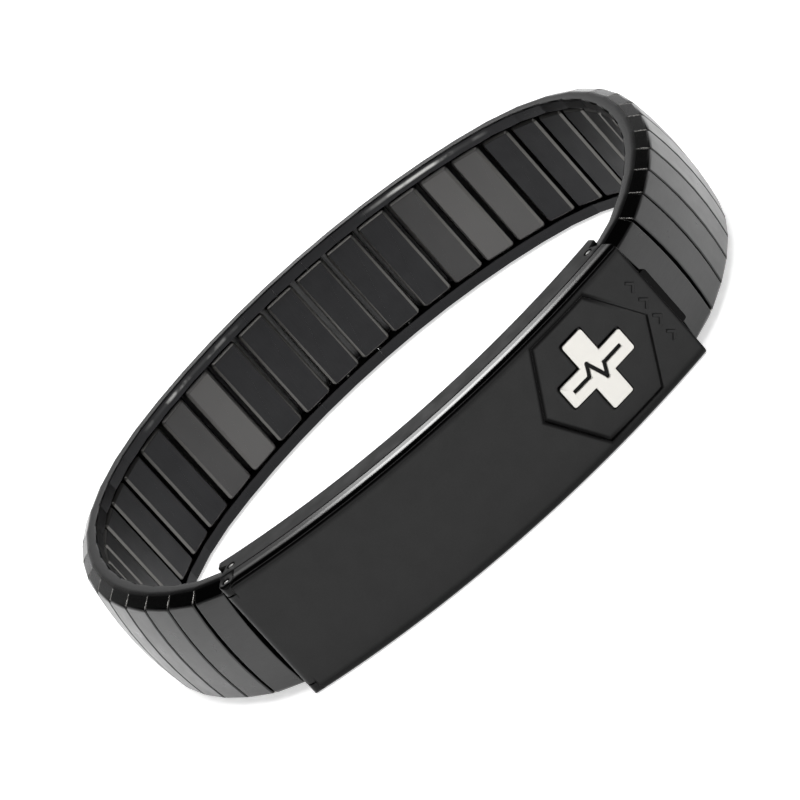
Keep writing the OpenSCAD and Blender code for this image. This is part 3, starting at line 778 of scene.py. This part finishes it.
# The knuckle round the pin runs out level with the face
turns = [math.radians(a) for a in range(-90, -331, -10)]
knuckle = [(HINGE[0] + 1, 0)]
knuckle += [(HINGE[0] + HINGE[1] * math.cos(t), HINGE[1] * (1 + math.sin(t))) for t in turns]
raised = [prism(knuckle + [(HINGE[0] + 1, LID_DEPTH)], BARREL_END, PLATE_WIDTH - BARREL_END, ACROSS),
          prism(rounded([(x, y, LIP_CORNER) for x, y in lip]), *LIP_DEPTHS, DEPTH)]
for k in range(4):
    middle = PLATE_WIDTH / 2 + (k - 1.5) * ARROW_STEP
    raised.append(prism([(u + ARROW_PLACE, v + middle) for u, v in ARROW], -ARROW_RISE, 0.3, DEPTH))
cover = worked(cover, "UNION", raised)
top, bottom = hexagon(RECESS_RADIUS + RECESS_SLOPE), hexagon(RECESS_RADIUS - RECESS_SLOPE)
sunk = [prism(top, -RECESS_DEPTH, RECESS_DEPTH, DEPTH, bottom),
        prism(cross_outline(CROSS_ROOM), -1, RECESS_DEPTH + CROSS_SINK, DEPTH),
        round_bar(HINGE, HINGE_BORE, -1, PLATE_WIDTH + 1)]
lid = bent_plate(worked(cover, "DIFFERENCE", sunk), "lid", LID_EDGE)


def painted_recess_shade(tree, own):
    """1 along the wall of the recess, where shade is painted, fading to its lower right."""
    apart = node(tree, "ShaderNodeSeparateXYZ", {0: own}).outputs
    from_axis = node(tree, "ShaderNodeMath", {0: (OUTER_LINE[0][0] - centre_y) * MM, 1: apart["Y"]},
                     operation="SUBTRACT")
    angle = node(tree, "ShaderNodeMath", {0: apart["X"], 1: from_axis.outputs[0]}, operation="ARCTAN2")
    along = node(tree, "ShaderNodeMath", {0: angle.outputs[0], 1: face_radius * MM, 2: -RECESS_PLACE * MM},
                 operation="MULTIPLY_ADD").outputs[0]
    length = node(tree, "ShaderNodeMath", {0: along}, operation="ABSOLUTE").outputs[0]
    height = from_middle(tree, own, "Z", PLATE_WIDTH / 2)
    # Distance from the middle to the nearest of the hexagon's level and slanted sides
    slanted = node(tree, "ShaderNodeMath", {0: product(tree, length, math.sqrt(3)), 1: height}, operation="ADD")
    slanted = product(tree, slanted.outputs[0], 0.5)
    reach = node(tree, "ShaderNodeMath", {0: slanted, 1: height}, operation="MAXIMUM").outputs[0]
    lower = node(tree, "ShaderNodeMath",
                 {0: apart["Z"], 1: -STEP_DOWN, 2: STEP_DOWN * PLATE_WIDTH / 2 * MM}, operation="MULTIPLY_ADD")
    aside = node(tree, "ShaderNodeMath", {0: along, 1: lower.outputs[0]}, operation="ADD").outputs[0]
    flat_half = RECESS_RADIUS * math.sqrt(3) / 2
    band = between(tree, reach, (flat_half - 0.55, flat_half - 0.25), (flat_half + 0.1, flat_half + 0.4))
    return product(tree, band, inverse(tree, ramp(tree, aside, *RECESS_SHADE_FADE)))


def lid_layers(tree, own):
    """Polished long rims that run into the face, a bright line along the sides, painted shade along the long
    edges and at the ends of the face, and painted shade in the recess.
    """
    outward = from_middle(tree, own, "Z", PLATE_WIDTH / 2)
    rim = ramp(tree, outward, *RIM_RISE)
    line = product(tree, rim, inverse(tree, below_face(tree, own, *reversed(LINE_RISE))),
                   below_face(tree, own, *reversed(LINE_FALL)))
    end = ramp(tree, from_middle(tree, own, "X", 0.0), *END_SHADE)
    return ((painted_recess_shade(tree, own), "#101010", 0.35), (ramp(tree, outward, *SHADE_RISE), "#121212", None),
            (end, "#141414", None), (rim, "#202020", 0.13), (ramp(tree, outward, *SIDE_RISE), "#131313", 0.13),
            (line, "#6c6c6b", 0.13))


# The coating over a finely blasted face, matt beside its polished rims, which mirror the light
lid.data.materials.append(satin_black(
    "matt_black_coated_lid", ("#2b2b2b", "#303030"), 0.42, (6000, 6000, 6000), "Object", lid_layers))
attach(lid, "lid")
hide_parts("plate_lid")

# Emblem. A cross of bare satin steel, with a pulse line cut into its face and coloured black. It is
# stamped out and pressed into the recess of the lid.
CROSS_DEPTHS, CROSS_EDGE = (0.02, 0.52), 0.1
PULSE = ((-3, 0), (-1.1, 0), (-0.5, 1.1), (0.3, -1.2), (0.9, 0), (3, 0))
PULSE_WIDTH, PULSE_DEPTH = 0.35, 0.22
cross_solid = prism(cross_outline(0), *CROSS_DEPTHS, DEPTH)
beats = []
for start, end in zip(PULSE, PULSE[1:]):
    lead = np.array(end) - np.array(start)
    lead = lead / np.linalg.norm(lead) * PULSE_WIDTH / 2
    aside = np.array((-lead[1], lead[0]))
    middle = np.array((RECESS_PLACE, PLATE_WIDTH / 2))
    beats.append(prism([middle + start - lead - aside, middle + end + lead - aside,
                        middle + end + lead + aside, middle + start - lead + aside], -1, PULSE_DEPTH, DEPTH))
emblem = bent_plate(worked(cross_solid, "DIFFERENCE", beats), "silver_cross", CROSS_EDGE)
# Steel left bare and ground to a satin face, which mirrors the light softly and looks silver
silver = bpy.data.materials.new("satin_bare_steel")
silver.use_nodes = True
tree = silver.node_tree
tree.nodes.clear()
place = node(tree, "ShaderNodeTexCoord").outputs["Object"]
ground = node(tree, "ShaderNodeTexNoise", {"Vector": place, "Scale": 5 / MM, "Detail": 3.0})
shine = node(tree, "ShaderNodeMapRange", {"Value": ground.outputs["Fac"], "To Min": 0.3, "To Max": 0.45})
# The colour turns black from 0.1 mm below the face of the cross: in the pulse line, and as painted shade down
# the sides of the cross
face_share = below_face(tree, place, 0.17, 0.11)
tint = node(tree, "ShaderNodeMix", {"Factor": face_share, "A": linear("#1c1c1c"), "B": linear("#c9c7c2")},
            data_type="RGBA")
cross = node(tree, "ShaderNodeBsdfPrincipled",
             {"Base Color": tint.outputs["Result"], "Metallic": 1.0, "Roughness": shine.outputs["Result"]})
node(tree, "ShaderNodeOutputMaterial", {"Surface": cross.outputs[0]})
emblem.data.materials.append(silver)
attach(emblem, "lid")
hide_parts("emblem")

# Studio. A sheet of white paper under a broad light that only matt surfaces see, in a surround that
# is dark above. A small light behind draws the bright line along the lid, and one above the bevels.
FLOOR_HALF = 3
PAPER_GLOW = 0.6
# Light of the surround at the horizon and from ABOVE upwards, and of a faint patch on the wall behind
HORIZON, OVERHEAD, ABOVE = 0.6, 0.06, 0.4
PATCH_WAY, PATCH_TIGHTNESS, PATCH_LIGHT = (0.0, 0.93, 0.36), 25.0, 0.35
floor_mesh = bpy.data.meshes.new("floor")
floor_plan = rectangle((-FLOOR_HALF, -FLOOR_HALF), (FLOOR_HALF, FLOOR_HALF))
floor_mesh.from_pydata([(x, y, 0) for x, y in floor_plan], [], [(0, 1, 2, 3)])
floor = bpy.data.objects.new("floor", floor_mesh)
bpy.context.scene.collection.objects.link(floor)
# White paper on a lit table, so that its shadows stay faint
paper = bpy.data.materials.new("white_paper_on_lit_table")
paper.use_nodes = True
tree = paper.node_tree
tree.nodes.clear()
sheet = node(tree, "ShaderNodeBsdfDiffuse", {"Color": linear("#f4f4f4")})
through = node(tree, "ShaderNodeEmission", {"Color": linear("#ffffff"), "Strength": PAPER_GLOW})
lit = node(tree, "ShaderNodeAddShader", {0: sheet.outputs[0], 1: through.outputs[0]})
node(tree, "ShaderNodeOutputMaterial", {"Surface": lit.outputs[0]})
floor_mesh.materials.append(paper)

world = bpy.data.worlds.new("surround")
bpy.context.scene.world = world
world.use_nodes = True
tree = world.node_tree
tree.nodes.clear()
facing = node(tree, "ShaderNodeTexCoord").outputs["Generated"]
height = node(tree, "ShaderNodeSeparateXYZ", {0: facing}).outputs["Z"]
brightness = node(tree, "ShaderNodeMapRange",
                  {"Value": height, "From Min": 0.0, "From Max": ABOVE, "To Min": HORIZON, "To Max": OVERHEAD},
                  interpolation_type="SMOOTHSTEP")
# The patch is at the height that the upward faces mirror
towards = node(tree, "ShaderNodeVectorMath", {0: facing, 1: PATCH_WAY}, operation="DOT_PRODUCT")
ahead_only = node(tree, "ShaderNodeMath", {0: towards.outputs["Value"], 1: 0.0}, operation="MAXIMUM")
patch = node(tree, "ShaderNodeMath", {0: ahead_only.outputs[0], 1: PATCH_TIGHTNESS}, operation="POWER")
patch_light = product(tree, patch.outputs[0], PATCH_LIGHT)
strength = node(tree, "ShaderNodeMath", {0: brightness.outputs["Result"], 1: patch_light}, operation="ADD")
glow = node(tree, "ShaderNodeBackground", {"Color": linear("#ffffff"), "Strength": strength.outputs[0]})
node(tree, "ShaderNodeOutputWorld", {"Surface": glow.outputs[0]})


def panel(name, place, height, width, radiance, shape="RECTANGLE"):
    """A light panel that faces the bracelet."""
    lamp = bpy.data.objects.new(name, bpy.data.lights.new(name, "AREA"))
    lamp.data.shape = shape
    lamp.data.size, lamp.data.size_y = height, width
    area = width * height * (math.pi / 4 if shape in ("DISK", "ELLIPSE") else 1)
    lamp.data.energy = radiance * math.pi * area
    lamp.location = place
    lamp.rotation_euler = Vector(place).to_track_quat("Z", "X").to_euler()
    bpy.context.scene.collection.objects.link(lamp)
    return lamp


overhead = panel("overhead", (0, 0, 1.2), height=1.6, width=1.6, radiance=2.9, shape="DISK")
overhead.visible_glossy = False
panel("bevel_light", (0, -0.6, 0.8), height=0.12, width=2.4, radiance=4.0)

# Camera, at the photograph's height and side, rolled so that the plate climbs to the right
VIEW_SIDE, VIEW_DOWN, VIEW_ROLL = (math.radians(a) for a in (1.91, 21.02, 41.93))
VIEW_AIM = Vector((-0.71, -4.19, 8.34)) * MM
VIEW_DISTANCE = 0.909
PIXELS_PER_MM, PICTURE_WIDTH = 10.49, 800
ahead = Vector((-math.sin(VIEW_SIDE) * math.cos(VIEW_DOWN), math.cos(VIEW_SIDE) * math.cos(VIEW_DOWN),
                -math.sin(VIEW_DOWN)))
across = Vector((math.cos(VIEW_SIDE), math.sin(VIEW_SIDE), 0))
up = across.cross(ahead)
right = across * math.cos(VIEW_ROLL) - up * math.sin(VIEW_ROLL)
top = across * math.sin(VIEW_ROLL) + up * math.cos(VIEW_ROLL)
camera = bpy.data.objects.new("camera", bpy.data.cameras.new("camera"))
bpy.context.scene.collection.objects.link(camera)
turn = Matrix((right, top, -ahead)).transposed().to_4x4()
camera.matrix_world = Matrix.Translation(VIEW_AIM - ahead * VIEW_DISTANCE) @ turn
camera.data.sensor_width = 36
camera.data.lens = PIXELS_PER_MM / MM * VIEW_DISTANCE * camera.data.sensor_width / PICTURE_WIDTH
bpy.context.scene.camera = camera
# The light behind stands where the camera is mirrored in the upper side of the lid
LID_SIDE, RIM_LIGHT_DISTANCE = Vector((3.0, -30.6, 14.4)) * MM, 1.2
beam = LID_SIDE - camera.matrix_world.translation
beam.z = -beam.z
panel("rim_light", LID_SIDE + beam.normalized() * RIM_LIGHT_DISTANCE, height=0.07, width=0.06, radiance=6.0)
bpy.context.scene.view_settings.view_transform = "Standard"
